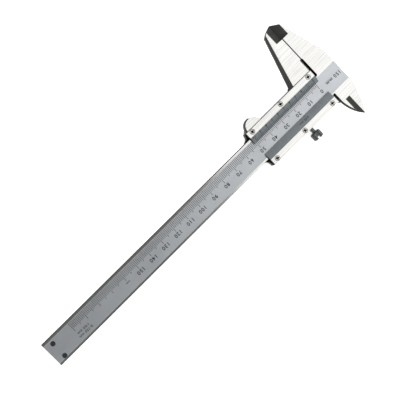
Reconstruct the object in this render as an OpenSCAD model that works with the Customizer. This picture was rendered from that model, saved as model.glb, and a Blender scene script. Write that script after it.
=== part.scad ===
// Vernier caliper: a steel beam with a fixed jaw pair, and a slider with the moving pair.
// X runs along the beam to its free end, Y towards the inside jaws, Z towards the scale side.
// X = 0 is the closed measuring plane, Y = 0 the beam's middle, Z = 0 the slider's flat back.

/* [Range] */
// Measuring range, which is also how far the slider travels
range_len = 150; // [100:10:200]
// Beam past the range's last line, which the opened slider needs to ride on
beam_tail = 69; // [66:0.1:80]

/* [Beam] */
// Width of the beam
beam_w = 16.1; // [15:0.1:17]
// Thickness of the beam and of the outside jaws
beam_t = 3.5; // [3.2:0.1:4]
// Width of the satin scale band between the two polished rails
band_w = 13; // [12:0.5:14]
// Depth of the scale band below the rails
band_sink = 0.15; // [0.05:0.05:0.3]

/* [Jaws] */
// Reach of the outside jaws, from the beam's middle to their tips
jaw_reach = 47.5; // [46:0.5:52]
// Height of the inside jaws, from the beam's middle to their tips
nib_reach = 29.7; // [27:0.1:30]
// Width of the fixed jaw's root, left of the closed measuring plane
root_w = 13.95; // [13:0.05:15]
// Distance from the closed measuring plane to the inside measuring edges
nib_x = 7; // [6:0.1:7.5]

/* [Slider] */
// Length of the slider
slider_len = 55.5; // [54:0.5:57]
// Full thickness of the slider with its cover plates
slider_t = 7.6; // [7.4:0.1:8.4]
// Edge of the slider on the outside jaws' side
slider_low = 12; // [11.6:0.1:12.4]
// Edge of the slider on the inside jaws' side
slider_high = 12.9; // [12.6:0.1:13.4]
// Thickness of the wall behind the beam
back_wall = 1.84; // [1.6:0.02:1.9]

/* [Fasteners] */
// Diameter of the cover screws' heads
cover_head_d = 3.1; // [2.8:0.1:3.3]
// Diameter of the lock screw's knurled head
lock_head_d = 6.7; // [6:0.1:8]
// Height of the lock screw's knurled head
lock_head_h = 4.7; // [4:0.1:6]
// Number of knurl ridges around the lock screw's head
lock_ridges = 24; // [20:2:40]

/* [Hidden] */
$fn = 48;

// Fits
slide_gap = 0.06;
close_gap = 0.02;
thread_gap = 0.05;
past = 1;

// Beam
beam_z = back_wall + slide_gap;
face_z = beam_z + beam_t;
half_w = beam_w / 2;
zero_x = 4.1;
beam_end = zero_x + range_len + beam_tail;
nib_split = beam_z + beam_t / 2;
band_y = 0.15;
jaw_band_y = 0.57;
jaw_band_end = 0.6;

// Outside jaws
lean = 18.3;
bow_r = 46;
bow_start = -8;
bow_steps = 8;
tip_flat = -36.6;
tip_w = 4.75;
tip_corner = -44.2;
edge_z = face_z - 2.1;
back_edge_z = beam_z + 0.7;
back_bevel_w = 2.4;
relief_end = -20;
fixed_relief = 0.65;
moving_relief = 1.2;
relief_web = 0.8;
relief_web_gap = 0.1;
relief_web_lap = 0.2;
relief_step = 0.6;
corner_y = 0.4;
heel_x = 7.5;
heel_y = -43.9;
shoulder_x = 17.4;
shoulder_back = 1.4;
shoulder_down = 2;
shoulder_out = 1.6;
bevel_top_x = 14.9;
bevel_foot_x = 6.4;
bevel_reach = 5;
moving_tip_rise = 1.5;
moving_tip_out = 0.2;

// Inside jaws
nib_root = 15.3;
nib_bow_r = 24;
knife_w = 3.75;
nib_chamfer = 0.8;
nib_right = -0.06;
nib_side_drop = 1.2;
nib_out_r = 22;
nib_out_in = 1.65;
moving_nib_out = 0.65;
moving_nib_in = 1.05;
moving_nib_r = 47;
knife_fixed_land = 0.15;
knife_moving_land = 0.25;
knife_moving_w = 3.15;

// Slider
slider_x = 1.5;
wall_top = face_z + 0.05;
window_low = -3.9;
window_high = 4.45;
bevel_low = -8.05;
bevel_high = 9.1;
bevel_edge = 0.3;
body_end = slider_len + 0.5;
flare_r = 3;
flare_drop = 3;
flare_foot = 0.2;
root_flare_r = 3.8;
root_flare_h = 1.8;
root_flare_gap = 0.4;
thumb_x = 48.4;
thumb_r = 5.6;
thumb_chamfer = 0.65;
thumb_z = 1;
web_in = 0.35;
web_inset = 0.9;
web_drop = 2.4;

// Gib and lock
gib_t = 0.8;
gib_x = 3;
gib_gap = 0.2;
gib_rise = 0.3;
gib_h = beam_t - 0.5;
pocket_y = half_w + slide_gap + gib_t + 0.1;
side_screw_z = nib_split;
gib_screw_r = 1;
gib_screw_sink = 0.4;
gib_slot_depth = 0.6;
gib_screws = [14, 42];
lock_x = 24.1;
lock_r = 1.3;
lock_neck = 3.1;
lock_slot_w = 1.3;
lock_slot_depth = 1.5;
lock_slot_turn = 101;
lock_ridge = 0.28;
tip_gap = 0.07;
lock_bottom_edge = 0.75;
lock_top_edge = 0.55;
lock_turned_r = lock_head_d / 2 + 0.05;

// Cover screws
cover_screws = [5.1, 28.4, 51.85];
screw_y_high = 11.1;
screw_y_low = -10.2;
cover_head_t = 0.8;
screw_r = 0.8;
screw_foot_z = 2.4;
seat_gap = 0.02;
shank_lap = 0.2;
recess_len = 1.9;
recess_w = 0.44;
recess_depth = 0.55;

// Depth rod and end plate
rod_w = 3;
rod_t = 1.5;
rod_z = back_wall + close_gap;
groove_gap = 0.15;
rod_x = 36;
rod_tip_len = 3;
rod_tip_cut = 1;
rivets = [40, 50];
rivet_head_r = 1.5;
rivet_head_t = 0.5;
rivet_sink = 0.1;
rivet_seat = 0.65;
end_plate_len = 12;
plate_x = beam_end - end_plate_len;
plate_t = 1;
plate_groove = 0.15;
end_screw_in = 5.2;
end_screw_x = beam_end - end_screw_in;
end_screw_high = 5.4;
end_screw_low = -4;
end_head_r = 1.45;
end_head_t = 0.9;
end_head_sink = 0.2;
end_head_z = face_z - end_head_sink - end_head_t;
end_shank_rise = 0.1;
slot_w = 0.4;
slot_depth = 0.4;

// Points along an arc of radius r from p to q, its bulge on the left of the way
function arc(p, q, r, n) =
  let (d = q - p, len = norm(d), side = [-d[1], d[0]] / len)
  let (c = (p + q) / 2 - side * sqrt(r * r - len * len / 4))
  let (a = atan2(p[1] - c[1], p[0] - c[0]), half = asin(len / 2 / r))
  [for (i = [0:n]) c + r * [cos(a - 2 * half * i / n), sin(a - 2 * half * i / n)]];

// Centre of that arc
function arc_centre(p, q, r) =
  let (d = q - p, len = norm(d), side = [-d[1], d[0]] / len)
  (p + q) / 2 - side * sqrt(r * r - len * len / 4);

module slab(z0, z1) {
  translate([0, 0, z0]) linear_extrude(z1 - z0) children();
}

// A (Y, Z) profile drawn out along X
module along_x(x0, x1) {
  translate([x0, 0, 0]) rotate([90, 0, 90]) linear_extrude(x1 - x0) children();
}

// An (X, Z) profile drawn out along Y
module along_y(y0, y1) {
  translate([0, y1, 0]) rotate([90, 0, 0]) linear_extrude(y1 - y0) children();
}

module round_y(r, y0, y1, x, z) {
  translate([x, y0, z]) rotate([-90, 0, 0]) cylinder(r = r, h = y1 - y0);
}

module fixed_jaw_outline() {
  bow = [for (i = [0:bow_steps]) let (a = lean * i / bow_steps)
    [-root_w + bow_r * (1 - cos(a)), bow_start - bow_r * sin(a)]];
  polygon(concat(
    [[-root_w, 0]], bow,
    [[-tip_w, tip_corner], [0, -jaw_reach], [0, relief_end - relief_step], [-fixed_relief, relief_end],
     [-fixed_relief, 0]]));
}

// Thin web that closes the back of a jaw's relief; x0 and x1 are its two edges
module relief_back(x0, x1) {
  slab(beam_z, beam_z + relief_web)
    polygon([[x0, relief_end - relief_step / 2], [x1, relief_end - relief_step / 2],
             [x1, -half_w - slide_gap], [x0, -half_w - slide_gap]]);
}

module moving_jaw_outline() {
  polygon([[close_gap, -jaw_reach],
           [tip_w + moving_tip_out, tip_corner - moving_tip_rise], [heel_x, heel_y],
           [shoulder_x, -slider_low], [shoulder_x, -half_w - slide_gap],
           [moving_relief, -half_w - slide_gap], [moving_relief, relief_end],
           [close_gap, relief_end - relief_step]]);
}

// Ground faces that leave a thin measuring edge at the tips; side is 1 right and -1 left
module tip_bevels(side) {
  along_y(-jaw_reach - past, tip_flat)
    scale([side, 1])
      polygon([[tip_w, face_z], [0, edge_z], [-past, edge_z], [-past, face_z + past],
               [tip_w, face_z + past]]);
  along_y(-jaw_reach - past, tip_flat)
    scale([side, 1])
      polygon([[back_bevel_w, beam_z], [0, back_edge_z], [-past, back_edge_z], [-past, beam_z - past],
               [back_bevel_w, beam_z - past]]);
}

// The fixed inside jaw is the front half of the thickness
module fixed_nib() {
  tip = [-nib_x, nib_reach];
  side_end = [nib_right, nib_root - nib_side_drop];
  c = arc_centre(tip, side_end, nib_bow_r);
  outline = concat(
    arc(tip, side_end, nib_bow_r, 16), [[nib_right, 0], [-root_w, 0]],
    arc([-root_w, half_w - 1], [-root_w + nib_out_in, nib_root], nib_out_r, 6), [[-nib_x, nib_root]]);
  difference() {
    slab(nib_split + slide_gap, face_z) polygon(outline);
    // knife edge on the measuring side
    along_y(nib_root, nib_reach + past)
      polygon([[-nib_x + knife_w, face_z], [-nib_x, nib_split + knife_fixed_land],
               [-nib_x - past, nib_split + knife_fixed_land],
               [-nib_x - past, face_z + past], [-nib_x + knife_w, face_z + past]]);
    // chamfer along the straight side and round the bow
    along_y(0, side_end[1])
      polygon([[nib_right - nib_chamfer, face_z], [nib_right, face_z - nib_chamfer],
               [nib_right + past, face_z - nib_chamfer], [nib_right + past, face_z + past],
               [nib_right - nib_chamfer, face_z + past]]);
    difference() {
      translate([-nib_x, side_end[1], face_z - nib_chamfer]) cube([nib_x + past, nib_reach, past]);
      translate([c[0], c[1], face_z - nib_chamfer])
        cylinder(r1 = nib_bow_r, r2 = nib_bow_r - past, h = past);
    }
  }
}

// The moving inside jaw is the rear half, and reaches behind the fixed one
module moving_nib() {
  foot = half_w + slide_gap;
  outline = concat(
    [[-root_w + moving_nib_out, foot]],
    arc([-root_w + moving_nib_in, nib_root], [-nib_x, nib_reach], moving_nib_r, 10),
    [[-nib_x, nib_root]],
    [[0, slider_high + root_flare_h]],
    [for (a = [0:15:90])
      [root_flare_r * (1 - cos(a)) + root_flare_gap, slider_high + root_flare_h * (1 - sin(a))]],
    [[slider_x + root_flare_r, slider_high], [slider_x + root_flare_r, foot]]);
  difference() {
    slab(beam_z, nib_split - slide_gap) polygon(outline);
    along_y(nib_root, nib_reach + past)
      polygon([[-nib_x - knife_moving_w, beam_z], [-nib_x, nib_split - knife_moving_land],
               [-nib_x + past, nib_split - knife_moving_land], [-nib_x + past, beam_z - past],
               [-nib_x - knife_moving_w, beam_z - past]]);
  }
}

module main_beam() {
  color("silver") difference() {
    union() {
      slab(beam_z, face_z) translate([-root_w, -half_w]) square([beam_end + root_w, beam_w]);
      difference() {
        slab(beam_z, face_z) fixed_jaw_outline();
        tip_bevels(-1);
      }
      relief_back(-fixed_relief - relief_web_lap, -relief_web_gap);
      fixed_nib();
    }
    // satin scale band, and the satin patch that carries it on across the jaw
    translate([jaw_band_end, band_y - band_w / 2, face_z - band_sink])
      cube([beam_end + past, band_w, past]);
    translate([-root_w - past, jaw_band_y - band_w / 2, face_z - band_sink])
      cube([root_w + past + jaw_band_end, band_w, past]);
    // groove for the depth rod
    translate([rod_x - past, -rod_w / 2 - groove_gap, beam_z - past])
      cube([beam_end - rod_x + 2 * past, rod_w + 2 * groove_gap, rod_t + groove_gap + past]);
    // corner relief where the fixed jaw meets the beam
    translate([(moving_relief - fixed_relief) / 2, -half_w + corner_y, beam_z + relief_web])
      cylinder(d = moving_relief + fixed_relief, h = beam_t + past);
    for (y = [end_screw_low, end_screw_high]) {
      translate([end_screw_x, y, beam_z - past]) cylinder(r = screw_r + thread_gap, h = beam_t + 2 * past);
      translate([end_screw_x, y, end_head_z - thread_gap]) cylinder(r = end_head_r + thread_gap, h = beam_t);
    }
  }
}

module beam_end_plate() {
  color("gray") difference() {
    translate([plate_x, -half_w, beam_z - plate_t]) cube([beam_end - plate_x, beam_w, plate_t]);
    translate([plate_x - past, -rod_w / 2 - groove_gap, beam_z - plate_groove])
      cube([beam_end - plate_x + 2 * past, rod_w + 2 * groove_gap, plate_groove + past]);
    for (y = [end_screw_low, end_screw_high])
      translate([end_screw_x, y, beam_z - plate_t - past])
        cylinder(r = screw_r + thread_gap, h = plate_t + 2 * past);
  }
}

// Slotted screw put in from the scale side
module end_screw(y) {
  color("dimgray") translate([end_screw_x, y, 0]) difference() {
    union() {
      translate([0, 0, beam_z - plate_t + end_shank_rise])
        cylinder(r = screw_r, h = end_head_z + shank_lap - beam_z + plate_t - end_shank_rise);
      translate([0, 0, end_head_z]) cylinder(r = end_head_r, h = end_head_t);
    }
    translate([-2 * end_head_r, -slot_w / 2, end_head_z + end_head_t - slot_depth])
      cube([4 * end_head_r, slot_w, slot_depth + past]);
  }
}

module beam_end_screw_upper() {
  end_screw(end_screw_high);
}

module beam_end_screw_lower() {
  end_screw(end_screw_low);
}

module slider_channel() {
  inner = half_w + slide_gap;
  difference() {
    union() {
      // wall behind the beam, flush with the closed measuring plane
      translate([0, -slider_low, 0]) cube([body_end, slider_low + slider_high, back_wall]);
      translate([slider_x, -slider_low, 0]) cube([body_end - slider_x, slider_low - inner, wall_top]);
      translate([slider_x, inner, 0]) cube([body_end - slider_x, slider_high - inner, wall_top]);
      // small fillets that run out along the beam's edges
      for (side = [0, 1]) mirror([0, side, 0]) slab(0, wall_top) difference() {
        translate([body_end - past, inner]) square([flare_r + past, flare_r]);
        translate([body_end + flare_r, inner + flare_r]) circle(r = flare_r - flare_foot);
      }
    }
    // the end slopes down past the cover plates
    along_y(-slider_low - past, slider_high + past)
      polygon([[slider_len, wall_top], [body_end + flare_r, wall_top - flare_drop],
               [body_end + flare_r + past, wall_top + past], [slider_len, wall_top + past]]);
  }
}

module moving_jaw() {
  way = [bevel_foot_x - bevel_top_x, heel_y + slider_low];
  difference() {
    slab(beam_z, face_z) union() {
      moving_jaw_outline();
      // gusset between the jaw's outer side and the slider's edge
      polygon([[shoulder_x - shoulder_back, -slider_low],
               [shoulder_x - shoulder_back, -slider_low - shoulder_down],
               [shoulder_x + shoulder_out, -slider_low]]);
    }
    tip_bevels(1);
    // bevel down the outer side, wider towards the slider
    translate([bevel_top_x, -slider_low, face_z]) rotate([0, 0, atan2(way[1], way[0]) + 90])
      along_y(-norm(way) - bevel_reach, bevel_reach)
        polygon([[0, 0], [bevel_reach, -bevel_reach], [bevel_reach, past], [0, past]]);
  }
}

module thumb_rest() {
  // web that carries the tab's outline into the slider's corner
  slab(thumb_z, face_z - 2 * thumb_chamfer)
    polygon([[thumb_x, -slider_low], [body_end - web_in, -slider_low],
             [thumb_x + thumb_r - web_inset, -slider_low - web_drop]]);
  intersection() {
    translate([thumb_x, -slider_low, thumb_z]) union() {
      cylinder(r = thumb_r, h = face_z - thumb_z - thumb_chamfer);
      translate([0, 0, face_z - thumb_z - thumb_chamfer])
        cylinder(r1 = thumb_r, r2 = thumb_r - thumb_chamfer, h = thumb_chamfer);
    }
    translate([thumb_x - 2 * thumb_r, -slider_low - 2 * thumb_r, 0])
      cube([4 * thumb_r, 2 * thumb_r + past, wall_top]);
  }
}

module slider_body() {
  color("gainsboro") difference() {
    union() {
      slider_channel();
      moving_jaw();
      moving_nib();
      thumb_rest();
      relief_back(relief_web_gap, moving_relief + relief_web_lap);
    }
    // pocket for the gib strip
    translate([gib_x - gib_gap, half_w, back_wall])
      cube([slider_len - 2 * gib_x + 2 * gib_gap, pocket_y - half_w, wall_top]);
    for (x = cover_screws, y = [screw_y_low, screw_y_high])
      translate([x, y, 2]) cylinder(r = screw_r + thread_gap, h = slider_t);
    round_y(lock_r + thread_gap, half_w, slider_high + past, lock_x, side_screw_z);
    for (x = gib_screws) round_y(gib_screw_r + thread_gap, half_w, slider_high + past, x, side_screw_z);
    for (x = rivets) {
      translate([x, 0, -past]) cylinder(r = screw_r + thread_gap, h = back_wall + 2 * past);
      translate([x, 0, -past]) cylinder(r = rivet_head_r + thread_gap, h = past + rivet_seat);
    }
  }
}

// A cover plate's profile: thin at the window, full thickness under the screws
module cover_profile(window, bevel, edge) {
  polygon([[window, wall_top], [window, wall_top + bevel_edge], [bevel, slider_t], [edge, slider_t],
           [edge, wall_top]]);
}

module cover_plate(window, bevel, edge, screw_y) {
  difference() {
    along_x(slider_x, slider_len) cover_profile(window, bevel, edge);
    for (x = cover_screws) {
      translate([x, screw_y, wall_top - past]) cylinder(r = screw_r + thread_gap, h = slider_t);
      translate([x, screw_y, slider_t - cover_head_t]) cylinder(d = cover_head_d + 2 * thread_gap, h = 2);
    }
  }
}

module upper_cover_plate() {
  color("lightslategray") cover_plate(window_high, bevel_high, slider_high, screw_y_high);
}

module vernier_plate() {
  color("lightslategray") cover_plate(window_low, bevel_low, -slider_low, screw_y_low);
}

// Cross-recessed screw
module cover_screw(i, y) {
  color("silver") translate([cover_screws[i], y, 0]) difference() {
    union() {
      translate([0, 0, screw_foot_z])
        cylinder(r = screw_r, h = slider_t - cover_head_t + shank_lap - screw_foot_z);
      translate([0, 0, slider_t - cover_head_t + seat_gap])
        cylinder(d = cover_head_d, h = cover_head_t - seat_gap);
    }
    for (a = [0, 90])
      rotate([0, 0, a]) translate([-recess_len / 2, -recess_w / 2, slider_t - recess_depth])
        cube([recess_len, recess_w, recess_depth + past]);
  }
}

module cover_screw_upper_1() {
  cover_screw(0, screw_y_high);
}

module cover_screw_upper_2() {
  cover_screw(1, screw_y_high);
}

module cover_screw_upper_3() {
  cover_screw(2, screw_y_high);
}

module cover_screw_lower_1() {
  cover_screw(0, screw_y_low);
}

module cover_screw_lower_2() {
  cover_screw(1, screw_y_low);
}

module cover_screw_lower_3() {
  cover_screw(2, screw_y_low);
}

// Spring strip between the slider's wall and the beam's edge
module gib_strip() {
  color("goldenrod") translate([gib_x, half_w + slide_gap, beam_z + gib_rise])
    cube([slider_len - 2 * gib_x, gib_t, gib_h]);
}

// Slotted grub screw that sets the gib strip
module gib_screw(x) {
  color("dimgray") difference() {
    round_y(gib_screw_r, pocket_y - tip_gap, slider_high - gib_screw_sink, x, side_screw_z);
    translate([x - 2 * gib_screw_r, slider_high - gib_screw_sink - gib_slot_depth, side_screw_z - slot_w / 2])
      cube([4 * gib_screw_r, gib_slot_depth + past, slot_w]);
  }
}

module gib_screw_left() {
  gib_screw(gib_screws[0]);
}

module gib_screw_right() {
  gib_screw(gib_screws[1]);
}

// Ridged outline of the knurled head
module ridged_circle(r, n, depth) {
  polygon([for (i = [0:2 * n - 1]) let (a = i * 180 / n, s = i % 2 == 0 ? r : r - depth)
    [s * cos(a), s * sin(a)]]);
}

module lock_screw() {
  head_y = slider_high + lock_neck;
  color([0.15, 0.15, 0.15]) translate([lock_x, 0, side_screw_z]) rotate([-90, 0, 0]) difference() {
    union() {
      translate([0, 0, pocket_y - tip_gap]) cylinder(r = lock_r, h = head_y - pocket_y + 2 * tip_gap);
      intersection() {
        translate([0, 0, head_y]) linear_extrude(lock_head_h)
          ridged_circle(lock_head_d / 2, lock_ridges, lock_ridge);
        translate([0, 0, head_y]) rotate_extrude()
          polygon([[0, 0], [lock_turned_r - lock_bottom_edge, 0], [lock_turned_r, lock_bottom_edge],
                   [lock_turned_r, lock_head_h - lock_top_edge], [lock_turned_r - lock_top_edge, lock_head_h],
                   [0, lock_head_h]]);
      }
    }
    rotate([0, 0, lock_slot_turn])
      translate([-lock_head_d, -lock_slot_w / 2, head_y + lock_head_h - lock_slot_depth])
        cube([2 * lock_head_d, lock_slot_w, lock_slot_depth + past]);
  }
}

module depth_rod() {
  color("silver") difference() {
    translate([rod_x, -rod_w / 2, rod_z]) cube([beam_end - rod_x, rod_w, rod_t]);
    // narrowed tip
    translate([beam_end - rod_tip_len, rod_w / 2 - rod_tip_cut, rod_z - past])
      cube([rod_tip_len + past, rod_tip_cut + past, rod_t + 2 * past]);
    for (x = rivets)
      translate([x, 0, rod_z - past]) cylinder(r = screw_r + thread_gap, h = rod_t + 2 * past);
  }
}

module rod_rivet(x) {
  color("gray") translate([x, 0, 0]) {
    translate([0, 0, rivet_sink]) cylinder(r = rivet_head_r, h = rivet_head_t);
    translate([0, 0, rivet_head_t - shank_lap])
      cylinder(r = screw_r, h = rod_z + rod_t - rivet_sink - rivet_head_t + shank_lap);
  }
}

module depth_rod_rivet_left() {
  rod_rivet(rivets[0]);
}

module depth_rod_rivet_right() {
  rod_rivet(rivets[1]);
}

main_beam();
beam_end_plate();
beam_end_screw_upper();
beam_end_screw_lower();
slider_body();
upper_cover_plate();
vernier_plate();
cover_screw_upper_1();
cover_screw_upper_2();
cover_screw_upper_3();
cover_screw_lower_1();
cover_screw_lower_2();
cover_screw_lower_3();
gib_strip();
gib_screw_left();
gib_screw_right();
lock_screw();
depth_rod();
depth_rod_rivet_left();
depth_rod_rivet_right();
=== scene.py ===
"""Looks of a 150 mm vernier caliper: bevelled steel parts, engraved scales, screws and a pale stage."""

import math

import bmesh
import bpy
from mathutils import Matrix, Vector


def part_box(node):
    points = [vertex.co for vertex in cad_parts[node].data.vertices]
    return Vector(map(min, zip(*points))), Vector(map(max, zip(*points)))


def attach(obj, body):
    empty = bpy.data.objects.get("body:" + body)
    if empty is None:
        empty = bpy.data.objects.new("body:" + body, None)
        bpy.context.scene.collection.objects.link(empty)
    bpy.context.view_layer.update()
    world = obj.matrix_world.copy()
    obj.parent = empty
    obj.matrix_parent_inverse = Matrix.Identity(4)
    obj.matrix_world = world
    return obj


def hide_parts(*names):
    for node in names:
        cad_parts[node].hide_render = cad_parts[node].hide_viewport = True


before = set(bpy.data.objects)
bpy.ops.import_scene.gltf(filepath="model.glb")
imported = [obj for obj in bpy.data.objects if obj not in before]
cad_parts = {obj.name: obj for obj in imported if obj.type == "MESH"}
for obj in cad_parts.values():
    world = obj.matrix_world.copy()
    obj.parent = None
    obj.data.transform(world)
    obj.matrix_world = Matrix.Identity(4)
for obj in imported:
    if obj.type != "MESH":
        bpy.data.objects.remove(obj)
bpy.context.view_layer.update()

bl_info = {
    "name": "Vernier caliper",
    "version": (1, 0, 0),
    "blender": (4, 5, 0),
    "location": "3D View > Sidebar > Caliper",
    "description": "Builds the finished parts, scales and stage of a vernier caliper",
    "category": "Add Mesh",
}

MM = 0.001

# Corners and heights that the CAD parts give, in metres
BEAM_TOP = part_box("main_beam")[1]
PLATE_LOW, PLATE_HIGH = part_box("vernier_plate")
UPPER_PLATE_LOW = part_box("upper_cover_plate")[0]
FACE_Z = BEAM_TOP.z
# How deep the scale band lies below the beam's face, and how far it reaches from the beam's middle
BAND_SINK = 0.15 * MM
BAND_Z = FACE_Z - BAND_SINK
BAND_REACH = 7.3 * MM
# The cover plates: thickness at the window, where each bevel starts, and how high it rises
WINDOW_EDGE = 0.3 * MM
BEVEL_LOW_Y = -8.05 * MM
BEVEL_HIGH_Y = 9.1 * MM
BEVEL_RISE = PLATE_HIGH.z - PLATE_LOW.z - WINDOW_EDGE
# The slider: where the thumb rest begins, and the far side of the relief between the jaws
THUMB_X = 43 * MM
RELIEF_X = 1.1 * MM


# ---------------------------------------------------------------- settings


class ScaleSettings(bpy.types.PropertyGroup):
    """Sizes of the engraved scales"""

    zero_x: bpy.props.FloatProperty(
        name="Zero line", description="Place of both zero lines along the beam",
        default=4.1 * MM, unit="LENGTH")
    foot_y: bpy.props.FloatProperty(
        name="Line foot", description="Where the main scale's lines start across the beam",
        default=-6.2 * MM, unit="LENGTH")
    last_line: bpy.props.IntProperty(
        name="Last line", description="Number of the main scale's last millimetre line", default=200)
    last_number: bpy.props.IntProperty(
        name="Last number", description="Highest number on the main scale", default=150)
    line_w: bpy.props.FloatProperty(
        name="Line width", description="Width of an engraved line", default=0.25 * MM, unit="LENGTH")
    number_h: bpy.props.FloatProperty(
        name="Number height", description="Height of the main scale's numbers",
        default=2.35 * MM, unit="LENGTH")
    number_y: bpy.props.FloatProperty(
        name="Number place", description="Middle of the main scale's numbers across the beam",
        default=2.0 * MM, unit="LENGTH")
    vernier_divisions: bpy.props.IntProperty(
        name="Vernier divisions", description="Divisions of the vernier scale", default=50)
    vernier_span: bpy.props.FloatProperty(
        name="Vernier span", description="Length of the vernier scale", default=49 * MM, unit="LENGTH")
    vernier_number_h: bpy.props.FloatProperty(
        name="Vernier number height", description="Height of the vernier's numbers",
        default=1.45 * MM, unit="LENGTH")
    ink_t: bpy.props.FloatProperty(
        name="Inlay thickness", description="How thick the black inlay of a line or number is",
        default=0.03 * MM, unit="LENGTH")
    ink_proud: bpy.props.FloatProperty(
        name="Inlay height", description="How far the inlay shows above the metal", default=0.008 * MM,
        unit="LENGTH")


class EdgeSettings(bpy.types.PropertyGroup):
    """Sizes of the broken edges"""

    steel_edge: bpy.props.FloatProperty(
        name="Steel edge", description="Width of the broken edges on the large steel parts",
        default=0.12 * MM, unit="LENGTH")
    # painted shade: these wide broken edges take the dark side steel and draw dark lines where the jaws meet
    # and along the beam's lower edge
    contact_edge: bpy.props.FloatProperty(
        name="Contact edge", description="Width of the jaws' meeting edges and of the beam's long lower edge",
        default=0.34 * MM, unit="LENGTH")
    # painted shade: these wide broken edges take the dark side steel or black and draw dark lines along the
    # vernier plate's outer edge and at the plates' ends
    plate_edge: bpy.props.FloatProperty(
        name="Plate edge", description="Width of the vernier plate's outer edge and of the plates' ends",
        default=0.14 * MM, unit="LENGTH")
    small_edge: bpy.props.FloatProperty(
        name="Small edge", description="Width of the broken edges on the small parts",
        default=0.06 * MM, unit="LENGTH")


class ColourSettings(bpy.types.PropertyGroup):
    """Colours of the metals, as sRGB hex values"""

    ground: bpy.props.StringProperty(
        name="Ground steel", description="Jaw faces and rails", default="#f6f5f2")
    ground_streak: bpy.props.StringProperty(
        name="Ground steel streaks", description="Grinding lines on the jaw faces", default="#c6c6c4")
    satin: bpy.props.StringProperty(
        name="Satin chrome", description="The scale band", default="#e0e4e8")
    plate: bpy.props.StringProperty(
        name="Plate satin", description="Bevels of the cover plates", default="#90969a")
    # painted reflection: this dark grey stands in for the dark surroundings that the edges, sides and knife
    # faces mirror
    side: bpy.props.StringProperty(
        name="Side steel", description="Edges and knife faces", default="#535350")
    oxide: bpy.props.StringProperty(
        name="Black oxide", description="The lock screw", default="#757978")
    screw: bpy.props.StringProperty(
        name="Screw nickel", description="The cover screws", default="#efede8")
    dark_screw: bpy.props.StringProperty(
        name="Dark screw", description="The end screws and grub screws", default="#666c72")
    bronze: bpy.props.StringProperty(
        name="Gib bronze", description="The gib strip", default="#b58a4a")
    ink: bpy.props.StringProperty(
        name="Scale ink", description="Lines and numbers", default="#0a0a0b")
    # painted shade: this black stands in for the shade in the screws' recesses, round their heads and on the
    # ends of the slider and plates
    recess: bpy.props.StringProperty(
        name="Recess", description="Cross recesses of the screws and ends of the slider", default="#1c1c1c")


class StageSettings(bpy.types.PropertyGroup):
    """Light and camera"""

    lens: bpy.props.FloatProperty(
        name="Lens", description="Focal length on a 36 mm sensor", default=74.6, unit="CAMERA")
    softbox_radiance: bpy.props.FloatProperty(
        name="Softbox brightness", description="Radiance of the softbox over the jaws", default=0.93)
    world_low: bpy.props.FloatProperty(
        name="Surround brightness", description="Light from round the stage", default=0.75)
    world_high: bpy.props.FloatProperty(
        name="Ceiling brightness", description="Light from straight above", default=0.12)


# ---------------------------------------------------------------- helpers


def linear(code):
    """An sRGB hex colour as linear red, green, blue and alpha"""
    parts = [int(code[i:i + 2], 16) / 255 for i in (1, 3, 5)]
    return tuple(c / 12.92 if c <= 0.04045 else ((c + 0.055) / 1.055) ** 2.4 for c in parts) + (1.0,)


def shaded(colour, share):
    """A linear colour made darker, or with a share above one lighter"""
    return tuple(min(1.0, c * share) for c in colour[:3]) + (1.0,)


def put(tree, kind, inputs=None, **settings):
    """Adds one node with its settings, values and links"""
    made = tree.nodes.new(kind)
    for key, value in settings.items():
        setattr(made, key, value)
    for key, value in (inputs or {}).items():
        if isinstance(value, bpy.types.NodeSocket):
            tree.links.new(value, made.inputs[key])
        else:
            made.inputs[key].default_value = value
    return made


def new_object(name, mesh):
    """An object for the mesh, in the scene"""
    piece = bpy.data.objects.new(name, mesh)
    bpy.context.scene.collection.objects.link(piece)
    return piece


def baked(piece):
    """Turns the piece's modifiers into a plain mesh and removes them"""
    evaluated = piece.evaluated_get(bpy.context.evaluated_depsgraph_get())
    mesh = bpy.data.meshes.new_from_object(evaluated)
    mesh.name = piece.name
    piece.modifiers.clear()
    piece.data = mesh
    return piece


def set_inputs(modifier, values):
    """Gives a Geometry Nodes modifier its inputs by name, through their identifiers"""
    known = {item.name: item.identifier for item in modifier.node_group.interface.items_tree}
    for name, value in values.items():
        modifier[known[name]] = value


# ---------------------------------------------------------------- materials


GRAIN_DEPTH = 0.01 * MM


def start_material(name):
    """The material of that name, with an empty node tree if it is new and None if it was there"""
    material = bpy.data.materials.get(name)
    if material:
        return material, None
    material = bpy.data.materials.new(name)
    material.use_nodes = True
    material.node_tree.nodes.clear()
    return material, material.node_tree


def place_in_mm(tree, stretch):
    """Object coordinates in millimetres, stretched for a grain"""
    coordinates = put(tree, "ShaderNodeTexCoord")
    scale = [s / MM for s in stretch]
    return put(tree, "ShaderNodeMapping",
               {"Vector": coordinates.outputs["Object"], "Scale": scale}).outputs[0]


def close_material(tree, shader):
    """Links the shader to the material's output"""
    put(tree, "ShaderNodeOutputMaterial", {"Surface": shader.outputs[0]})


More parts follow.
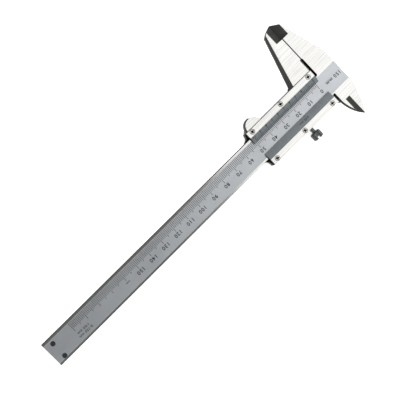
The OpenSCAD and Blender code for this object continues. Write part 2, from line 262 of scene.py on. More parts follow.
def ground_steel():
    """Hardened stainless steel, surface ground: bright, with long fine grinding lines along the beam"""
    colours = bpy.context.scene.caliper_colours
    material, tree = start_material("ground_stainless_steel")
    if not tree:
        return material
    # Lines about 0.3 mm apart and some 20 mm long, drawn coarser than real grit so that they show
    grain = put(tree, "ShaderNodeTexNoise",
                {"Vector": place_in_mm(tree, (0.05, 3.2, 1)), "Scale": 1.0, "Detail": 4.0, "Roughness": 0.65})
    clouds = put(tree, "ShaderNodeTexNoise",
                 {"Vector": place_in_mm(tree, (0.12, 0.12, 0.12)), "Scale": 1.0, "Detail": 2.0})
    streak = put(tree, "ShaderNodeMapRange",
                 {"Value": grain.outputs[0], "From Min": 0.44, "From Max": 0.76,
                  "To Min": 0.0, "To Max": 1.2})
    patch = put(tree, "ShaderNodeMath",
                {0: streak.outputs[0], 1: clouds.outputs[0]}, operation="MULTIPLY")
    tone = put(tree, "ShaderNodeMix", {"Factor": patch.outputs[0], 6: linear(colours.ground),
                                       7: linear(colours.ground_streak)}, data_type="RGBA")
    rough = put(tree, "ShaderNodeMapRange",
                {"Value": grain.outputs[0], "From Min": 0.3, "From Max": 0.7, "To Min": 0.12, "To Max": 0.24})
    bump = put(tree, "ShaderNodeBump",
               {"Height": grain.outputs[0], "Strength": 0.1, "Distance": GRAIN_DEPTH})
    close_material(tree, put(tree, "ShaderNodeBsdfPrincipled",
                             {"Base Color": tone.outputs[2], "Metallic": 1.0, "Roughness": rough.outputs[0],
                              "Normal": bump.outputs[0]}))
    return material


def satin_chrome():
    """Satin chrome plating over a blasted band: even pale grey that takes the light softly"""
    colours = bpy.context.scene.caliper_colours
    material, tree = start_material("satin_chrome_band")
    if not tree:
        return material
    # Blasting pits about 0.1 mm across, drawn coarser than real so that they show
    pits = put(tree, "ShaderNodeTexNoise",
               {"Vector": place_in_mm(tree, (2.5, 2.5, 2.5)), "Scale": 1.0, "Detail": 3.0, "Roughness": 0.7})
    clouds = put(tree, "ShaderNodeTexNoise",
                 {"Vector": place_in_mm(tree, (0.06, 0.1, 0.1)), "Scale": 1.0, "Detail": 2.0})
    light = linear(colours.satin)
    dark = shaded(light, 0.86)
    mixed = put(tree, "ShaderNodeMath", {0: pits.outputs[0], 1: clouds.outputs[0]}, operation="MULTIPLY")
    share = put(tree, "ShaderNodeMapRange",
                {"Value": mixed.outputs[0], "From Min": 0.12, "From Max": 0.4, "To Min": 0.0, "To Max": 1.0})
    tone = put(tree, "ShaderNodeMix", {"Factor": share.outputs[0], 6: light, 7: dark}, data_type="RGBA")
    bump = put(tree, "ShaderNodeBump",
               {"Height": pits.outputs[0], "Strength": 0.2, "Distance": 2 * GRAIN_DEPTH})
    close_material(tree, put(tree, "ShaderNodeBsdfPrincipled",
                             {"Base Color": tone.outputs[2], "Metallic": 1.0, "Roughness": 0.47,
                              "Normal": bump.outputs[0]}))
    return material


def plate_satin():
    """Brushed satin plating on the plates' bevels: darker grey, with short lines across the plate"""
    colours = bpy.context.scene.caliper_colours
    material, tree = start_material("satin_plated_bevel")
    if not tree:
        return material
    lines = put(tree, "ShaderNodeTexNoise",
                {"Vector": place_in_mm(tree, (2.2, 0.12, 0.12)), "Scale": 1.0, "Detail": 3.0,
                 "Roughness": 0.6})
    light = linear(colours.plate)
    dark = shaded(light, 0.8)
    share = put(tree, "ShaderNodeMapRange",
                {"Value": lines.outputs[0], "From Min": 0.35, "From Max": 0.7, "To Min": 0.0, "To Max": 1.0})
    tone = put(tree, "ShaderNodeMix", {"Factor": share.outputs[0], 6: light, 7: dark}, data_type="RGBA")
    bump = put(tree, "ShaderNodeBump",
               {"Height": lines.outputs[0], "Strength": 0.15, "Distance": GRAIN_DEPTH})
    close_material(tree, put(tree, "ShaderNodeBsdfPrincipled",
                             {"Base Color": tone.outputs[2], "Metallic": 1.0, "Roughness": 0.38,
                              "Normal": bump.outputs[0]}))
    return material


ROUGHNESS_SPREAD = 0.06


def simple_metal(name, colour, shade, roughness, pattern):
    """One metal with a two-tone noise grain; pattern is the grain's stretch per millimetre"""
    material, tree = start_material(name)
    if not tree:
        return material
    grain = put(tree, "ShaderNodeTexNoise",
                {"Vector": place_in_mm(tree, pattern), "Scale": 1.0, "Detail": 3.0, "Roughness": 0.6})
    light = linear(colour)
    dark = shaded(light, shade)
    share = put(tree, "ShaderNodeMapRange",
                {"Value": grain.outputs[0], "From Min": 0.35, "From Max": 0.7, "To Min": 0.0, "To Max": 1.0})
    tone = put(tree, "ShaderNodeMix", {"Factor": share.outputs[0], 6: light, 7: dark}, data_type="RGBA")
    rough = put(tree, "ShaderNodeMapRange",
                {"Value": grain.outputs[0], "From Min": 0.3, "From Max": 0.7,
                 "To Min": roughness - ROUGHNESS_SPREAD, "To Max": roughness + ROUGHNESS_SPREAD})
    bump = put(tree, "ShaderNodeBump",
               {"Height": grain.outputs[0], "Strength": 0.15, "Distance": GRAIN_DEPTH})
    close_material(tree, put(tree, "ShaderNodeBsdfPrincipled",
                             {"Base Color": tone.outputs[2], "Metallic": 1.0, "Roughness": rough.outputs[0],
                              "Normal": bump.outputs[0]}))
    return material


def side_steel():
    """Milled edges and knife faces: dark steel, partly unpolished and mostly a painted reflection of the dark
    surroundings that these faces mirror beside the bright flats
    """
    return simple_metal("side_steel_painted_dark", bpy.context.scene.caliper_colours.side, 0.78, 0.55,
                        (0.5, 0.5, 4.0))


def black_oxide():
    """Blackened steel of the lock screw: deep grey with a soft oily gloss"""
    return simple_metal("black_oxide_steel", bpy.context.scene.caliper_colours.oxide, 0.6, 0.3,
                        (2.0, 2.0, 2.0))


def screw_nickel():
    """Nickel plating of the small screws: warm light grey, slightly worn"""
    return simple_metal("nickel_plated_steel", bpy.context.scene.caliper_colours.screw, 0.75, 0.3,
                        (3.0, 3.0, 1.0))


def recess_black():
    """Painted shade: black in the cross recesses, on the screw heads' rims and on the ends of the slider and
    plates
    """
    return simple_metal("painted_shade_steel", bpy.context.scene.caliper_colours.recess, 0.7, 0.5,
                        (3.0, 3.0, 3.0))


def dark_screw():
    """Blued steel of the end screws and grub screws: dark slate"""
    return simple_metal("blued_steel", bpy.context.scene.caliper_colours.dark_screw, 0.7, 0.38,
                        (3.0, 3.0, 3.0))


def gib_bronze():
    """Phosphor bronze spring strip: warm brown, drawn lengthways"""
    return simple_metal("phosphor_bronze", bpy.context.scene.caliper_colours.bronze, 0.8, 0.35,
                        (0.1, 4.0, 4.0))


def scale_ink():
    """Black filler in the engraved lines: matt and a little uneven"""
    colours = bpy.context.scene.caliper_colours
    material, tree = start_material("engraving_filler")
    if not tree:
        return material
    grain = put(tree, "ShaderNodeTexNoise",
                {"Vector": place_in_mm(tree, (1.5, 1.5, 1.5)), "Scale": 1.0, "Detail": 2.0})
    dark = linear(colours.ink)
    light = shaded(dark, 2.5)
    tone = put(tree, "ShaderNodeMix", {"Factor": grain.outputs[0], 6: dark, 7: light}, data_type="RGBA")
    close_material(tree, put(tree, "ShaderNodeBsdfPrincipled",
                             {"Base Color": tone.outputs[2], "Roughness": 0.6}))
    return material


def white_board():
    """Matt white board under the caliper: almost even, and lit a little by itself"""
    material, tree = start_material("white_board")
    grain = put(tree, "ShaderNodeTexNoise",
                {"Vector": place_in_mm(tree, (0.3, 0.3, 0.3)), "Scale": 1.0, "Detail": 2.0})
    tone = put(tree, "ShaderNodeMix", {"Factor": grain.outputs[0], 6: linear("#fdfdfd"),
                                       7: linear("#f6f6f6")}, data_type="RGBA")
    close_material(tree, put(tree, "ShaderNodeBsdfPrincipled",
                             {"Base Color": tone.outputs[2], "Roughness": 0.9, "Specular IOR Level": 0.0,
                              "Emission Color": (1.0, 1.0, 1.0, 1.0), "Emission Strength": 0.75}))
    return material


# ---------------------------------------------------------------- steel parts from the CAD shapes


# Corners closer than this are one corner
MERGE = 1e-6
# Angles between faces: still one flat face, an edge to break, an edge that stays sharp in the shading
FLAT_ANGLE = math.radians(1.0)
EDGE_ANGLE = math.radians(28)
SHARP_ANGLE = math.radians(50)
# How near the measuring plane an edge has to lie to be a meeting edge
CONTACT_NEAR = 0.05 * MM
# A face whose normal has more than this along an axis faces along it
FACING = 0.97
# The same for the plates' end faces and their broken edges
END_FACING = 0.3
# The slider's end faces lie within this of the plates' end
END_NEAR = 0.1 * MM
# The thumb rest's chamfer stays bright where its normal is above the first and below the second
REST_UP = 0.3
REST_AWAY = -0.1
# How far a normal may be off the plates' bevel
TILT_SPREAD = 0.04


def is_contact_edge(edge):
    """True on the scale-side edges along which the closed outside jaws meet"""
    a, b = (v.co for v in edge.verts)
    near = max(abs(a.x), abs(b.x)) < CONTACT_NEAR
    return near and min(a.z, b.z) > FACE_Z - MERGE and max(a.y, b.y) < 0


def is_beam_edge(edge):
    """True on the contact edges and on the beam's long lower edge, scale side"""
    a, b = (v.co for v in edge.verts)
    outside = max(a.y, b.y) < -BAND_REACH and min(a.y, b.y) > PLATE_LOW.y
    long = abs(a.x - b.x) > PLATE_HIGH.x
    return is_contact_edge(edge) or (outside and long and min(a.z, b.z) > FACE_Z - MERGE)


def is_plate_edge(edge):
    """True on the top edges of the vernier plate's outer side and of both plates' ends"""
    a, b = (v.co for v in edge.verts)
    raised = min(a.z, b.z) > PLATE_LOW.z + WINDOW_EDGE / 2
    at_side = max(a.y, b.y) < PLATE_LOW.y + MERGE
    at_end = min(a.x, b.x) > PLATE_HIGH.x - MERGE
    return raised and (at_side or at_end)


def finished_copy(name, node, edge, materials, sort_face, wide_edges=None, wide=0):
    """A copy of a CAD node with merged faces, broken edges and a material for each face

    The edges that wide_edges picks are broken to the width in wide, all others to the width in edge."""
    shape = bmesh.new()
    shape.from_mesh(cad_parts[node].data)
    bmesh.ops.remove_doubles(shape, verts=shape.verts, dist=MERGE)
    bmesh.ops.dissolve_limit(shape, angle_limit=FLAT_ANGLE, verts=shape.verts, edges=shape.edges)
    widest = max(edge, wide)
    share = shape.edges.layers.float.new("bevel_weight_edge")
    for corner in shape.edges:
        if corner.is_manifold and corner.calc_face_angle() > EDGE_ANGLE:
            is_wide = wide_edges is not None and wide_edges(corner)
            corner[share] = (wide if is_wide else edge) / widest
    mesh = bpy.data.meshes.new(name)
    shape.to_mesh(mesh)
    shape.free()
    for material in materials:
        mesh.materials.append(material)
    piece = new_object(name, mesh)
    bevel = piece.modifiers.new("broken_edges", "BEVEL")
    bevel.limit_method = "WEIGHT"
    bevel.width = widest
    bevel.segments = 2
    bevel.use_clamp_overlap = False
    mesh = baked(piece).data
    for face in mesh.polygons:
        face.material_index = sort_face(face.center, face.normal)
        face.use_smooth = True
    mesh.set_sharp_from_angle(angle=SHARP_ANGLE)
    weighted = piece.modifiers.new("even_faces", "WEIGHTED_NORMAL")
    weighted.mode = "FACE_AREA"
    weighted.weight = 100
    weighted.keep_sharp = True
    return baked(piece)


def stands_for(piece, body, slot, *nodes):
    """The piece rides on the body and replaces the CAD nodes; slot is not used"""
    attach(piece, body)
    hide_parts(*nodes)


class CALIPER_OT_beam(bpy.types.Operator):
    """Build the beam with its two fixed jaws"""

    bl_idname = "caliper.beam"
    bl_label = "Beam and fixed jaws"

    def execute(self, context):
        def finish(centre, normal):
            """Ground faces and rails, a satin band, and side steel painted dark on the edges and knife faces
            as a painted reflection, and on the upward faces below the band as painted shade
            """
            if abs(normal.z) < FACING:
                in_band = abs(centre.y) < BAND_REACH and centre.z > FACE_Z - 2 * BAND_SINK
                return 1 if in_band else 2
            if normal.z < 0 or centre.z > FACE_Z - BAND_SINK / 2:
                return 0
            # painted shade: upward faces lower than the band take the dark side steel
            return 1 if centre.z > FACE_Z - 2 * BAND_SINK else 2

        edges = context.scene.caliper_edges
        piece = finished_copy("beam_and_fixed_jaws", "main_beam", edges.steel_edge,
                              [ground_steel(), satin_chrome(), side_steel()], finish,
                              is_beam_edge, edges.contact_edge)
        stands_for(piece, "beam", "ground_steel", "main_beam")
        return {"FINISHED"}


class CALIPER_OT_slider(bpy.types.Operator):
    """Build the slider with its two moving jaws and thumb rest"""

    bl_idname = "caliper.slider"
    bl_label = "Slider and moving jaws"

    def execute(self, context):
        def finish(centre, normal):
            """Ground faces, side steel painted dark on the edges and in the relief, and painted shade in
            black on the far ends
            """
            on_rest = centre.x > THUMB_X and centre.y < PLATE_LOW.y
            if on_rest and normal.z > REST_UP and normal.x < REST_AWAY:
                return 0
            # painted shade: the slider's far end faces are black
            if centre.x > PLATE_HIGH.x - END_NEAR and abs(normal.z) < FACING:
                return 2
            # painted shade: the relief's upward faces between the jaws take the dark side steel
            painted_relief_shade = 0 < centre.x < RELIEF_X and centre.y < PLATE_LOW.y and centre.z < FACE_Z / 2
            if normal.z > 0 and painted_relief_shade:
                return 1
            return 0 if abs(normal.z) > FACING else 1

        edges = context.scene.caliper_edges
        piece = finished_copy("slider_and_moving_jaws", "slider_body", edges.steel_edge,
                              [ground_steel(), side_steel(), recess_black()], finish,
                              is_contact_edge, edges.contact_edge)
        stands_for(piece, "slider", "jaw_steel", "slider_body")
        return {"FINISHED"}


class CALIPER_OT_cover_plates(bpy.types.Operator):
    """Build the two bevelled cover plates"""

    bl_idname = "caliper.cover_plates"
    bl_label = "Cover plates"

    def execute(self, context):
        slope = BEVEL_RISE / (PLATE_HIGH.y - BEVEL_LOW_Y)
        tilt_z = 1 / math.sqrt(1 + slope * slope)

        def finish(centre, normal):
            """Ground tops, satin bevels, side steel painted dark on the outer sides, and painted shade in
            black on the far ends
            """
            if abs(normal.z) > FACING:
                return 0
            # painted shade: the plates' end faces and their broken edges are black
            if normal.x > END_FACING:
                return 3
            return 1 if abs(normal.z - tilt_z) < TILT_SPREAD else 2

        edges = context.scene.caliper_edges
        for node in ("upper_cover_plate", "vernier_plate"):
            piece = finished_copy(node + "_finished", node, edges.small_edge,
                                  [ground_steel(), plate_satin(), side_steel(), recess_black()], finish,
                                  is_plate_edge, edges.plate_edge)
            stands_for(piece, "slider", "scale_plate", node)
        return {"FINISHED"}


class CALIPER_OT_small_parts(bpy.types.Operator):
    """Build the lock screw, the gib and its screws, the depth rod and the end fittings"""

    bl_idname = "caliper.small_parts"
    bl_label = "Small parts"

    def execute(self, context):
        edge = context.scene.caliper_edges.small_edge
        steel, oxide, blued = ground_steel(), black_oxide(), dark_screw()
        rows = (
            ("lock_screw", "lock_screw", "black_oxide", oxide),
            ("gib_strip", "slider", "gib_bronze", gib_bronze()),
            ("gib_screw_left", "slider", "dark_screw", blued),
            ("gib_screw_right", "slider", "dark_screw", blued),
            ("depth_rod", "slider", "ground_steel", steel),
            ("depth_rod_rivet_left", "slider", "screw_steel", screw_nickel()),
            ("depth_rod_rivet_right", "slider", "screw_steel", screw_nickel()),
            ("beam_end_plate", "beam", "ground_steel", steel),
            ("beam_end_screw_upper", "beam", "dark_screw", blued),
            ("beam_end_screw_lower", "beam", "dark_screw", blued),
        )
        for node, body, slot, material in rows:
            piece = finished_copy(node + "_finished", node, edge, [material], lambda centre, normal: 0)
            stands_for(piece, body, slot, node)
        return {"FINISHED"}


# ---------------------------------------------------------------- cover screws


# The cover screws' sizes
HEAD_H = 0.75 * MM
RIM_W = 0.12 * MM
SHANK_R = 0.8 * MM
RECESS_LENGTH = 2.1 * MM
RECESS_W = 0.75 * MM
RECESS_DEPTH = 0.5 * MM
TURN_SEED = 3
# A face of the head whose normal has less than this upwards belongs to the rim
RIM_UP = 0.9


def screw_tree():
    """Geometry Nodes: a cross-recessed screw on every point, its head's top at the point"""
    tree = bpy.data.node_groups.new("cover_screws", "GeometryNodeTree")
    face = tree.interface
    face.new_socket("Geometry", in_out="INPUT", socket_type="NodeSocketGeometry")
    for name in ("Head Radius", "Head Height", "Rim Width", "Shank Radius", "Shank Length",
                 "Recess Length", "Recess Width", "Recess Depth"):
        face.new_socket(name, in_out="INPUT", socket_type="NodeSocketFloat")
    face.new_socket("Turn Seed", in_out="INPUT", socket_type="NodeSocketInt")
    for name in ("Steel", "Recess"):
        face.new_socket(name, in_out="INPUT", socket_type="NodeSocketMaterial")
    face.new_socket("Geometry", in_out="OUTPUT", socket_type="NodeSocketGeometry")
    given = put(tree, "NodeGroupInput").outputs
    foot = put(tree, "ShaderNodeMath", {0: given["Head Height"], 1: -1.0}, operation="MULTIPLY")
    top_radius = put(tree, "ShaderNodeMath", {0: given["Head Radius"], 1: given["Rim Width"]},
                     operation="SUBTRACT")
    head = put(tree, "GeometryNodeMeshCone",
               {"Vertices": 32, "Radius Top": top_radius.outputs[0], "Radius Bottom": given["Head Radius"],
                "Depth": given["Head Height"]})
    place = put(tree, "ShaderNodeCombineXYZ", {"Z": foot.outputs[0]})
    plated = put(tree, "GeometryNodeSetMaterial",
                 {"Geometry": head.outputs["Mesh"], "Material": given["Steel"]})
    # painted shade: the sloping rim takes the black recess material, standing in for the shadow in the
    # countersink round the head
    facing = put(tree, "ShaderNodeSeparateXYZ", {0: put(tree, "GeometryNodeInputNormal").outputs[0]})
    painted_rim_shade = put(tree, "ShaderNodeMath", {0: facing.outputs["Z"], 1: RIM_UP}, operation="LESS_THAN")
    rim_shaded = put(tree, "GeometryNodeSetMaterial",
                 {"Geometry": plated.outputs[0], "Selection": painted_rim_shade.outputs[0], "Material": given["Recess"]})
    sunk = put(tree, "GeometryNodeTransform",
               {"Geometry": rim_shaded.outputs[0], "Translation": place.outputs[0]})
    # the cross is cut by two blocks that reach as far above the head as below it
    tall = put(tree, "ShaderNodeMath", {0: given["Recess Depth"], 1: 2.0}, operation="MULTIPLY")
    bars = []
    for order in (("X", "Y"), ("Y", "X")):
        size = put(tree, "ShaderNodeCombineXYZ",
                   {order[0]: given["Recess Length"], order[1]: given["Recess Width"], "Z": tall.outputs[0]})
        bars.append(put(tree, "GeometryNodeMeshCube", {"Size": size.outputs[0]}))
    cross = put(tree, "GeometryNodeMeshBoolean", operation="UNION", solver="EXACT")
    for bar in bars:
        tree.links.new(bar.outputs["Mesh"], cross.inputs[1])
    # painted shade: the cross recess's walls are black
    black = put(tree, "GeometryNodeSetMaterial", {"Geometry": cross.outputs[0], "Material": given["Recess"]})
    cut = put(tree, "GeometryNodeMeshBoolean", {0: sunk.outputs[0], 1: black.outputs[0]},
              operation="DIFFERENCE", solver="EXACT")
    shank = put(tree, "GeometryNodeMeshCylinder",
                {"Vertices": 24, "Radius": given["Shank Radius"], "Depth": given["Shank Length"]})
    shank_half = put(tree, "ShaderNodeMath", {0: given["Shank Length"], 1: -0.5}, operation="MULTIPLY")
    shank_z = put(tree, "ShaderNodeMath", {0: shank_half.outputs[0], 1: given["Head Height"]},
                  operation="SUBTRACT")
    shank_place = put(tree, "ShaderNodeCombineXYZ", {"Z": shank_z.outputs[0]})
    stem = put(tree, "GeometryNodeTransform",
               {"Geometry": shank.outputs["Mesh"], "Translation": shank_place.outputs[0]})
    coated = put(tree, "GeometryNodeSetMaterial", {"Geometry": stem.outputs[0], "Material": given["Steel"]})
    whole = put(tree, "GeometryNodeJoinGeometry")
    tree.links.new(cut.outputs[0], whole.inputs[0])
    tree.links.new(coated.outputs[0], whole.inputs[0])
    # each cross stops at a turn of its own
    turn = put(tree, "FunctionNodeRandomValue", {"Max": math.pi / 2, "Seed": given["Turn Seed"]},
               data_type="FLOAT")
    upright = put(tree, "ShaderNodeCombineXYZ", {"Z": turn.outputs["Value"]})
    spread = put(tree, "GeometryNodeInstanceOnPoints",
                 {"Points": given["Geometry"], "Instance": whole.outputs[0], "Rotation": upright.outputs[0]})
    real = put(tree, "GeometryNodeRealizeInstances", {"Geometry": spread.outputs[0]})
    is_black = put(tree, "GeometryNodeMaterialSelection", {"Material": given["Recess"]})
    is_steel = put(tree, "FunctionNodeBooleanMath", {0: is_black.outputs[0]}, operation="NOT")
    last = put(tree, "GeometryNodeSetMaterial",
               {"Geometry": real.outputs[0], "Selection": is_steel.outputs[0], "Material": given["Steel"]})
    put(tree, "NodeGroupOutput", {0: last.outputs[0]})
    return tree


class CALIPER_OT_cover_screws(bpy.types.Operator):
    """Build the six cross-recessed screws of the cover plates"""

    bl_idname = "caliper.cover_screws"
    bl_label = "Cover screws"

    def execute(self, context):
        nodes = [f"cover_screw_{row}_{i}" for row in ("upper", "lower") for i in (1, 2, 3)]
        tops, low, high = [], *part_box(nodes[0])
        for node in nodes:
            start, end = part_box(node)
            tops.append(((start.x + end.x) / 2, (start.y + end.y) / 2, end.z))
        mesh = bpy.data.meshes.new("cover_screws")
        mesh.from_pydata(tops, [], [])
        piece = new_object("cover_screws", mesh)
        modifier = piece.modifiers.new("screws", "NODES")
        modifier.node_group = screw_tree()
        set_inputs(modifier, {
            "Head Radius": (high.x - low.x) / 2, "Head Height": HEAD_H, "Rim Width": RIM_W,
            "Shank Radius": SHANK_R, "Shank Length": high.z - low.z - HEAD_H,
            "Recess Length": RECESS_LENGTH, "Recess Width": RECESS_W, "Recess Depth": RECESS_DEPTH,
            "Turn Seed": TURN_SEED, "Steel": screw_nickel(), "Recess": recess_black()})
        bevel = piece.modifiers.new("broken_edges", "BEVEL")
        bevel.width = context.scene.caliper_edges.small_edge
        bevel.segments = 2
        bevel.limit_method = "ANGLE"
        bevel.angle_limit = EDGE_ANGLE
        baked(piece)
        stands_for(piece, "slider", "screw_steel", *nodes)
        return {"FINISHED"}


# ---------------------------------------------------------------- scales


PITCH = 1.0 * MM
NUMBER_STEP = 10
MAIN_LINES = {"Short": 4.25 * MM, "Middle": 5.3 * MM, "Long": 6.1 * MM}
VERNIER_LINES = {"Short": 2.0 * MM, "Middle": 2.5 * MM, "Long": 3.0 * MM}
VERNIER_NUMBERS = 10
# How far down the vernier's bevel its lines start and the middles of its numbers lie
LINE_DOWN = 0.05 * MM
NUMBER_DOWN = 3.75 * MM
# Words on the beam: text, height, and the place of the middle along and across the beam
BEAM_LABELS = (
    ("mm", 1.2 * MM, 164 * MM, 1.4 * MM),
    ("150 mm", 2.3 * MM, -6.8 * MM, 0.9 * MM),
    ("0-150 mm", 1.5 * MM, 200 * MM, 4.3 * MM),
    ("1/50 mm", 1.5 * MM, 200 * MM, 2.1 * MM),
)
# The reading on the upper plate: text, height and place along the beam
READING = "0.02 mm"
READING_H = 1.3 * MM
READING_X = 24.5 * MM
# Lettering: a digit's height in the font's size, space between letters, and growth of the strokes
DIGIT_RATIO = 0.73
LETTER_SPACE = 1.18
STROKE_GROWTH = 0.024


def ruler_tree():
    """Geometry Nodes: a row of scale lines, each fifth and tenth one longer"""
    tree = bpy.data.node_groups.new("ruler_lines", "GeometryNodeTree")
    face = tree.interface
    for name in ("Pitch", "Line Width", "Short", "Middle", "Long", "Thickness"):
        face.new_socket(name, in_out="INPUT", socket_type="NodeSocketFloat")
    face.new_socket("Count", in_out="INPUT", socket_type="NodeSocketInt")
    face.new_socket("Place", in_out="INPUT", socket_type="NodeSocketVector")
    face.new_socket("Turn", in_out="INPUT", socket_type="NodeSocketRotation")
    face.new_socket("Filler", in_out="INPUT", socket_type="NodeSocketMaterial")
    face.new_socket("Geometry", in_out="OUTPUT", socket_type="NodeSocketGeometry")
    given = put(tree, "NodeGroupInput").outputs
    step = put(tree, "ShaderNodeCombineXYZ", {"X": given["Pitch"]})
    row = put(tree, "GeometryNodeMeshLine", {"Count": given["Count"], "Offset": step.outputs[0]},
              mode="OFFSET")
    index = put(tree, "GeometryNodeInputIndex")
    length = given["Short"]
    for every, longer, shorter in ((5.0, "Middle", "Short"), (10.0, "Long", "Middle")):
        rest = put(tree, "ShaderNodeMath", {0: index.outputs[0], 1: every}, operation="MODULO")
        hit = put(tree, "ShaderNodeMath", {0: rest.outputs[0], 1: 0.5}, operation="LESS_THAN")
        extra = put(tree, "ShaderNodeMath", {0: given[longer], 1: given[shorter]}, operation="SUBTRACT")
        grown = put(tree, "ShaderNodeMath", {0: hit.outputs[0], 1: extra.outputs[0], 2: length},
                    operation="MULTIPLY_ADD")
        length = grown.outputs[0]
    block = put(tree, "GeometryNodeMeshCube", {"Size": (1.0, 1.0, 1.0)})
    footed = put(tree, "GeometryNodeTransform",
                 {"Geometry": block.outputs["Mesh"], "Translation": (0.0, 0.5, -0.5)})
    size = put(tree, "ShaderNodeCombineXYZ",
               {"X": given["Line Width"], "Y": length, "Z": given["Thickness"]})
    lines = put(tree, "GeometryNodeInstanceOnPoints",
                {"Points": row.outputs[0], "Instance": footed.outputs[0], "Scale": size.outputs[0]})
    placed = put(tree, "GeometryNodeTransform",
                 {"Geometry": lines.outputs[0], "Translation": given["Place"], "Rotation": given["Turn"]})
    real = put(tree, "GeometryNodeRealizeInstances", {"Geometry": placed.outputs[0]})
    last = put(tree, "GeometryNodeSetMaterial",
               {"Geometry": real.outputs[0], "Material": given["Filler"]})
    put(tree, "NodeGroupOutput", {0: last.outputs[0]})
    return tree


def ruler(name, values):
    """A plain mesh of scale lines, made by the ruler's nodes"""
    piece = new_object(name, bpy.data.meshes.new(name))
    modifier = piece.modifiers.new("lines", "NODES")
    modifier.node_group = bpy.data.node_groups.get("ruler_lines") or ruler_tree()
    set_inputs(modifier, values)
    return baked(piece)


def lettering(name, labels, thickness):
    """One thin mesh of several labels; each is its text, height and the matrix that places its middle"""
    shape = bmesh.new()
    for text, height, place in labels:
        curve = bpy.data.curves.new("label", "FONT")
        curve.body = text
        curve.size = height / DIGIT_RATIO
        curve.align_x = "CENTER"
        curve.space_character = LETTER_SPACE
        curve.resolution_u = 3
        curve.extrude = thickness / 2
        curve.offset = height * STROKE_GROWTH
        writer = new_object("label", curve)
        evaluated = writer.evaluated_get(bpy.context.evaluated_depsgraph_get())
        mesh = bpy.data.meshes.new_from_object(evaluated)
        mesh.transform(place @ Matrix.Translation((0, -height / 2, -thickness / 2)))
        shape.from_mesh(mesh)
        bpy.data.meshes.remove(mesh)
        bpy.data.objects.remove(writer)
        bpy.data.curves.remove(curve)
    bmesh.ops.remove_doubles(shape, verts=shape.verts, dist=MERGE / 10)
    made = bpy.data.meshes.new(name)
    shape.to_mesh(made)
    shape.free()
    made.materials.append(scale_ink())
    return new_object(name, made)


class CALIPER_OT_main_scale(bpy.types.Operator):
    """Engrave the beam's millimetre scale and its numbers"""

    bl_idname = "caliper.main_scale"
    bl_label = "Main scale"

    def execute(self, context):
        scale = context.scene.caliper_scale
        top = BAND_Z + scale.ink_proud
        lines = ruler("main_scale_lines", {
            "Pitch": PITCH, "Line Width": scale.line_w, **MAIN_LINES, "Thickness": scale.ink_t,
            "Count": scale.last_line + 1, "Place": (scale.zero_x, scale.foot_y, top),
            "Turn": (0.0, 0.0, 0.0), "Filler": scale_ink()})
        labels = []
        for number in range(0, scale.last_number + 1, NUMBER_STEP):
            place = Matrix.Translation((scale.zero_x + number * PITCH, scale.number_y, top))
            labels.append((str(number), scale.number_h, place))
        for text, height, x, y in BEAM_LABELS:
            labels.append((text, height, Matrix.Translation((x, y, top))))
        numbers = lettering("main_scale_numbers", labels, scale.ink_t)
        for piece in (lines, numbers):
            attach(piece, "beam")
        return {"FINISHED"}


class CALIPER_OT_vernier_scale(bpy.types.Operator):
    """Engrave the vernier scale on the lower plate and the reading on the upper one"""

    bl_idname = "caliper.vernier_scale"
    bl_label = "Vernier scale"

    def execute(self, context):
        scale = context.scene.caliper_scale
        edge_z = PLATE_LOW.z + WINDOW_EDGE
        low_slope = math.atan2(BEVEL_RISE, PLATE_HIGH.y - BEVEL_LOW_Y)
        high_slope = math.atan2(BEVEL_RISE, BEVEL_HIGH_Y - UPPER_PLATE_LOW.y)

        def on_plate(x, down):
            """A place on the lower plate's bevel, that far down from the window's edge"""
            y = PLATE_HIGH.y - down * math.cos(low_slope)
            z = edge_z + down * math.sin(low_slope)
            slide = Matrix.Translation((x, y, z)) @ Matrix.Rotation(-low_slope, 4, "X")
            return slide @ Matrix.Translation((0, 0, scale.ink_proud))

        # The lines start at the window's edge and run away from it, so the row is turned to point down
        start = on_plate(scale.zero_x + scale.vernier_span, LINE_DOWN) @ Matrix.Rotation(math.pi, 4, "Z")
        turn = start.to_euler()
        lines = ruler("vernier_lines", {
            "Pitch": scale.vernier_span / scale.vernier_divisions, "Line Width": scale.line_w,
            **VERNIER_LINES, "Thickness": scale.ink_t,
            "Count": scale.vernier_divisions + 1, "Place": tuple(start.translation),
            "Turn": (turn.x, turn.y, turn.z), "Filler": scale_ink()})
        labels = []
        for number in range(VERNIER_NUMBERS + 1):
            x = scale.zero_x + number * scale.vernier_span / VERNIER_NUMBERS
            labels.append((str(number), scale.vernier_number_h, on_plate(x, NUMBER_DOWN)))
        y = (UPPER_PLATE_LOW.y + BEVEL_HIGH_Y) / 2
        z = edge_z + BEVEL_RISE / 2
        tilt = Matrix.Translation((READING_X, y, z)) @ Matrix.Rotation(high_slope, 4, "X")
        labels.append((READING, READING_H, tilt @ Matrix.Translation((0, 0, scale.ink_proud))))
        numbers = lettering("vernier_numbers", labels, scale.ink_t)
        for piece in (lines, numbers):
            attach(piece, "slider")
        return {"FINISHED"}


# ---------------------------------------------------------------- stage


# The floor's half width, and how far it lies below the slider's back
FLOOR_HALF = 4.0
FLOOR_DROP = 0.02 * MM
# Heights on the sky's globe between which the surround fades into the dark ceiling
SURROUND_TOP = 0.7
CEILING_LOW = 0.97
# The softbox: size along and across the beam, height over the bench, place of its edge and middle
SOFTBOX_WIDTH = 0.46
SOFTBOX_DEPTH = 0.6
SOFTBOX_Z = 0.6
SOFTBOX_EDGE_X = -13 * MM
SOFTBOX_Y = 0.02
# The camera: its place and the directions of the image's right and top
CAMERA_PLACE = (0.1565, -0.0490, 0.4794)
CAMERA_RIGHT = (-0.7056, 0.6928, 0.1488)
CAMERA_UP = (-0.6992, -0.7148, 0.0122)
SENSOR_WIDTH = 36
CLIP_START = 0.01
CLIP_END = 20


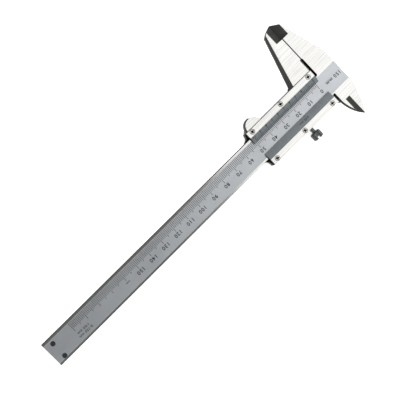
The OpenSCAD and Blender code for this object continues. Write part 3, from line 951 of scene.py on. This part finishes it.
class CALIPER_OT_stage(bpy.types.Operator):
    """Lay the pale floor, hang the softbox and set up the camera"""

    bl_idname = "caliper.stage"
    bl_label = "Stage"

    def execute(self, context):
        settings = context.scene.caliper_stage
        self.floor()
        self.world(context, settings)
        self.softbox(settings)
        self.camera(context, settings)
        context.scene.view_settings.view_transform = "Standard"
        return {"FINISHED"}

    def floor(self):
        """A wide board under the caliper"""
        sides = ((-1, -1), (1, -1), (1, 1), (-1, 1))
        corners = [(x * FLOOR_HALF, y * FLOOR_HALF, -FLOOR_DROP) for x, y in sides]
        mesh = bpy.data.meshes.new("floor")
        mesh.from_pydata(corners, [], [(0, 1, 2, 3)])
        floor = new_object("floor", mesh)
        mesh.materials.append(white_board())

    def world(self, context, settings):
        """A bright surround that fades into a dark ceiling"""
        world = bpy.data.worlds.new("studio")
        world.use_nodes = True
        tree = world.node_tree
        tree.nodes.clear()
        coordinates = put(tree, "ShaderNodeTexCoord")
        split = put(tree, "ShaderNodeSeparateXYZ", {0: coordinates.outputs["Generated"]})
        level = put(tree, "ShaderNodeMapRange",
                    {"Value": split.outputs["Z"], "From Min": SURROUND_TOP, "From Max": CEILING_LOW,
                     "To Min": settings.world_low, "To Max": settings.world_high},
                    interpolation_type="SMOOTHSTEP")
        glow = put(tree, "ShaderNodeBackground",
                   {"Color": (1.0, 1.0, 1.0, 1.0), "Strength": level.outputs[0]})
        put(tree, "ShaderNodeOutputWorld", {"Surface": glow.outputs[0]})
        context.scene.world = world

    def softbox(self, settings):
        """A flat lamp overhead that the jaws and the near part of the beam mirror"""
        light = bpy.data.lights.new("softbox", "AREA")
        light.shape = "RECTANGLE"
        light.size = SOFTBOX_WIDTH
        light.size_y = SOFTBOX_DEPTH
        light.energy = settings.softbox_radiance * math.pi * SOFTBOX_WIDTH * SOFTBOX_DEPTH
        lamp = bpy.data.objects.new("softbox", light)
        bpy.context.scene.collection.objects.link(lamp)
        lamp.location = (SOFTBOX_EDGE_X - SOFTBOX_WIDTH / 2, SOFTBOX_Y, SOFTBOX_Z)

    def camera(self, context, settings):
        """A long lens that looks down on the caliper's scale side"""
        right = Vector(CAMERA_RIGHT)
        up = Vector(CAMERA_UP)
        back = right.cross(up).normalized()
        lens = bpy.data.cameras.new("camera")
        lens.type = "PERSP"
        lens.sensor_width = SENSOR_WIDTH
        lens.lens = settings.lens
        lens.clip_start = CLIP_START
        lens.clip_end = CLIP_END
        camera = bpy.data.objects.new("camera", lens)
        context.scene.collection.objects.link(camera)
        turn = Matrix((right, up, back)).transposed().to_4x4()
        camera.matrix_world = Matrix.Translation(CAMERA_PLACE) @ turn
        context.scene.camera = camera


# ---------------------------------------------------------------- add-on


class CALIPER_PT_panel(bpy.types.Panel):
    """Lists the caliper's pieces and settings"""

    bl_idname = "CALIPER_PT_panel"
    bl_label = "Vernier caliper"
    bl_space_type = "VIEW_3D"
    bl_region_type = "UI"
    bl_category = "Caliper"

    def draw(self, context):
        for operator in OPERATORS:
            self.layout.operator(operator.bl_idname)
        for settings in SETTINGS:
            group = getattr(context.scene, settings)
            for name in group.bl_rna.properties.keys():
                if name not in ("rna_type", "name"):
                    self.layout.prop(group, name)


OPERATORS = (CALIPER_OT_stage, CALIPER_OT_beam, CALIPER_OT_slider, CALIPER_OT_cover_plates,
             CALIPER_OT_small_parts, CALIPER_OT_cover_screws, CALIPER_OT_main_scale,
             CALIPER_OT_vernier_scale)
SETTINGS = {"caliper_scale": ScaleSettings, "caliper_edges": EdgeSettings,
            "caliper_colours": ColourSettings, "caliper_stage": StageSettings}


def register():
    for cls in (*SETTINGS.values(), *OPERATORS, CALIPER_PT_panel):
        bpy.utils.register_class(cls)
    for name, cls in SETTINGS.items():
        setattr(bpy.types.Scene, name, bpy.props.PointerProperty(type=cls))


def unregister():
    for name in SETTINGS:
        delattr(bpy.types.Scene, name)
    for cls in (CALIPER_PT_panel, *reversed(OPERATORS), *reversed(list(SETTINGS.values()))):
        bpy.utils.unregister_class(cls)


def main():
    """Builds every piece"""
    register()
    for operator in OPERATORS:
        group, name = operator.bl_idname.split(".")
        getattr(getattr(bpy.ops, group), name)()


if __name__ == "__main__":
    main()
